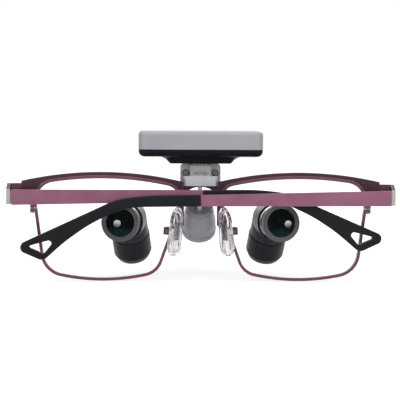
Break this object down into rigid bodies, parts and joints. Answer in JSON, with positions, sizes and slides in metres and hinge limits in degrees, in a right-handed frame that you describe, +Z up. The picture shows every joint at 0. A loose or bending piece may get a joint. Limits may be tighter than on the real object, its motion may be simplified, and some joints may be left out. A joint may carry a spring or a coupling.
{
  "type": "lighted magnifier glasses",
  "caption": "Metal spectacle frame with two down-angled telescopes set through its lenses, a tilting lamp and a lift-off battery module over the bridge, and folding temples.",
  "frame": {"origin": "the boxing centre of the front, on its symmetry plane, half-way up the lens boxes and in the middle of the rim wire at the nose", "axes": "+X to the wearer's right, +Y the way the wearer looks, +Z up; the temples are folded"},
  "size_m": [0.1424, 0.0485, 0.0554],
  "materials": {
    "plum_metal": "satin plum coating on metal",
    "steel": "plain steel",
    "arm_metal": "stamped and polished",
    "clear_lens": "clear carrier lens",
    "optic": "coated optical glass",
    "silicone": "clear silicone",
    "tip_black": "moulded, slightly soft",
    "grey_metal": "bead blasted, anodised grey",
    "black_metal": "anodised dark",
    "silver_metal": "bead blasted",
    "lamp_metal": "bead blasted, anodised",
    "bronze_screw": "bronze-brown plated",
    "gold_pins": "gold plated",
    "module_silver": "silver paint",
    "module_black": "moulded black",
    "led_board": "circuit board",
    "magnet": "nickel plated magnets",
    "cell": "pouch cell in its sleeve"
  },
  "bodies": {
    "front": {"rim_left": "plum_metal", "rim_right": "plum_metal", "brow_bar_left": "plum_metal", "brow_bar_right": "plum_metal", "bridge": "plum_metal", "end_piece_left": "plum_metal", "end_piece_right": "plum_metal", "front_leaf_left": "plum_metal", "front_leaf_right": "plum_metal", "closing_screws": "steel", "hinge_screws": "steel", "pad_screws": "steel", "lamp_pin": "steel", "barrel_set_screws": "steel", "pad_arm_left": "arm_metal", "pad_arm_right": "arm_metal", "carrier_lens_left": "clear_lens", "carrier_lens_right": "clear_lens", "eyepiece_lens_left": "optic", "eyepiece_lens_right": "optic", "objective_lens_left": "optic", "objective_lens_right": "optic", "prism_left": "optic", "prism_right": "optic", "eyepiece_ring_left": "grey_metal", "eyepiece_ring_right": "grey_metal", "ocular_tube_left": "grey_metal", "ocular_tube_right": "grey_metal", "prism_housing_left": "grey_metal", "prism_housing_right": "grey_metal", "objective_barrel_left": "black_metal", "objective_barrel_right": "black_metal", "objective_ring_left": "black_metal", "objective_ring_right": "black_metal", "bracket_plate": "black_metal", "rear_clamp": "silver_metal", "contact_block": "silver_metal", "lamp_carrier": "silver_metal", "bracket_screws": "bronze_screw", "contact_pins": "gold_pins"},
    "lamp": {"lamp_cap": "lamp_metal", "lamp_housing": "lamp_metal", "lamp_led": "led_board", "lamp_lens": "optic", "lamp_bezel": "lamp_metal"},
    "battery_module": {"module_cover": "module_silver", "module_tray": "module_black", "module_magnets": "magnet", "module_board": "led_board", "module_cell": "cell"},
    "right_temple": {"temple_right": "plum_metal", "temple_tip_right": "tip_black", "temple_leaf_right": "plum_metal"},
    "left_temple": {"temple_left": "plum_metal", "temple_tip_left": "tip_black", "temple_leaf_left": "plum_metal"},
    "right_pad": {"nose_pad_right": "silicone", "pad_core_right": "steel"},
    "left_pad": {"nose_pad_left": "silicone", "pad_core_left": "steel"}
  },
  "joints": [
    {"name": "right_temple_fold", "type": "hinge", "parent": "front", "child": "right_temple", "pos_m": [0.0683, -0.01499, 0.0118], "axis": [0, 0, 1], "range_deg": [0, 88.5]},
    {"name": "left_temple_fold", "type": "hinge", "parent": "front", "child": "left_temple", "pos_m": [-0.0683, -0.01499, 0.0118], "axis": [0, 0, -1], "range_deg": [0, 91.5]},
    {"name": "lamp_tilt", "type": "hinge", "parent": "front", "child": "lamp", "pos_m": [0, 0.00989, 0.005], "axis": [1, 0, 0], "range_deg": [-15, 20]},
    {"name": "module_lift", "type": "slide", "parent": "front", "child": "battery_module", "axis": [0, 0, 1], "range_m": [0, 0.006]},
    {"name": "right_pad_rock", "type": "hinge", "parent": "front", "child": "right_pad", "pos_m": [0.01192, -0.0055, -0.0011], "axis": [0.5, -0.866, 0], "range_deg": [-8, 8]},
    {"name": "left_pad_rock", "type": "hinge", "parent": "front", "child": "left_pad", "pos_m": [-0.01192, -0.0055, -0.0011], "axis": [-0.5, -0.866, 0], "range_deg": [-8, 8]}
  ]
}
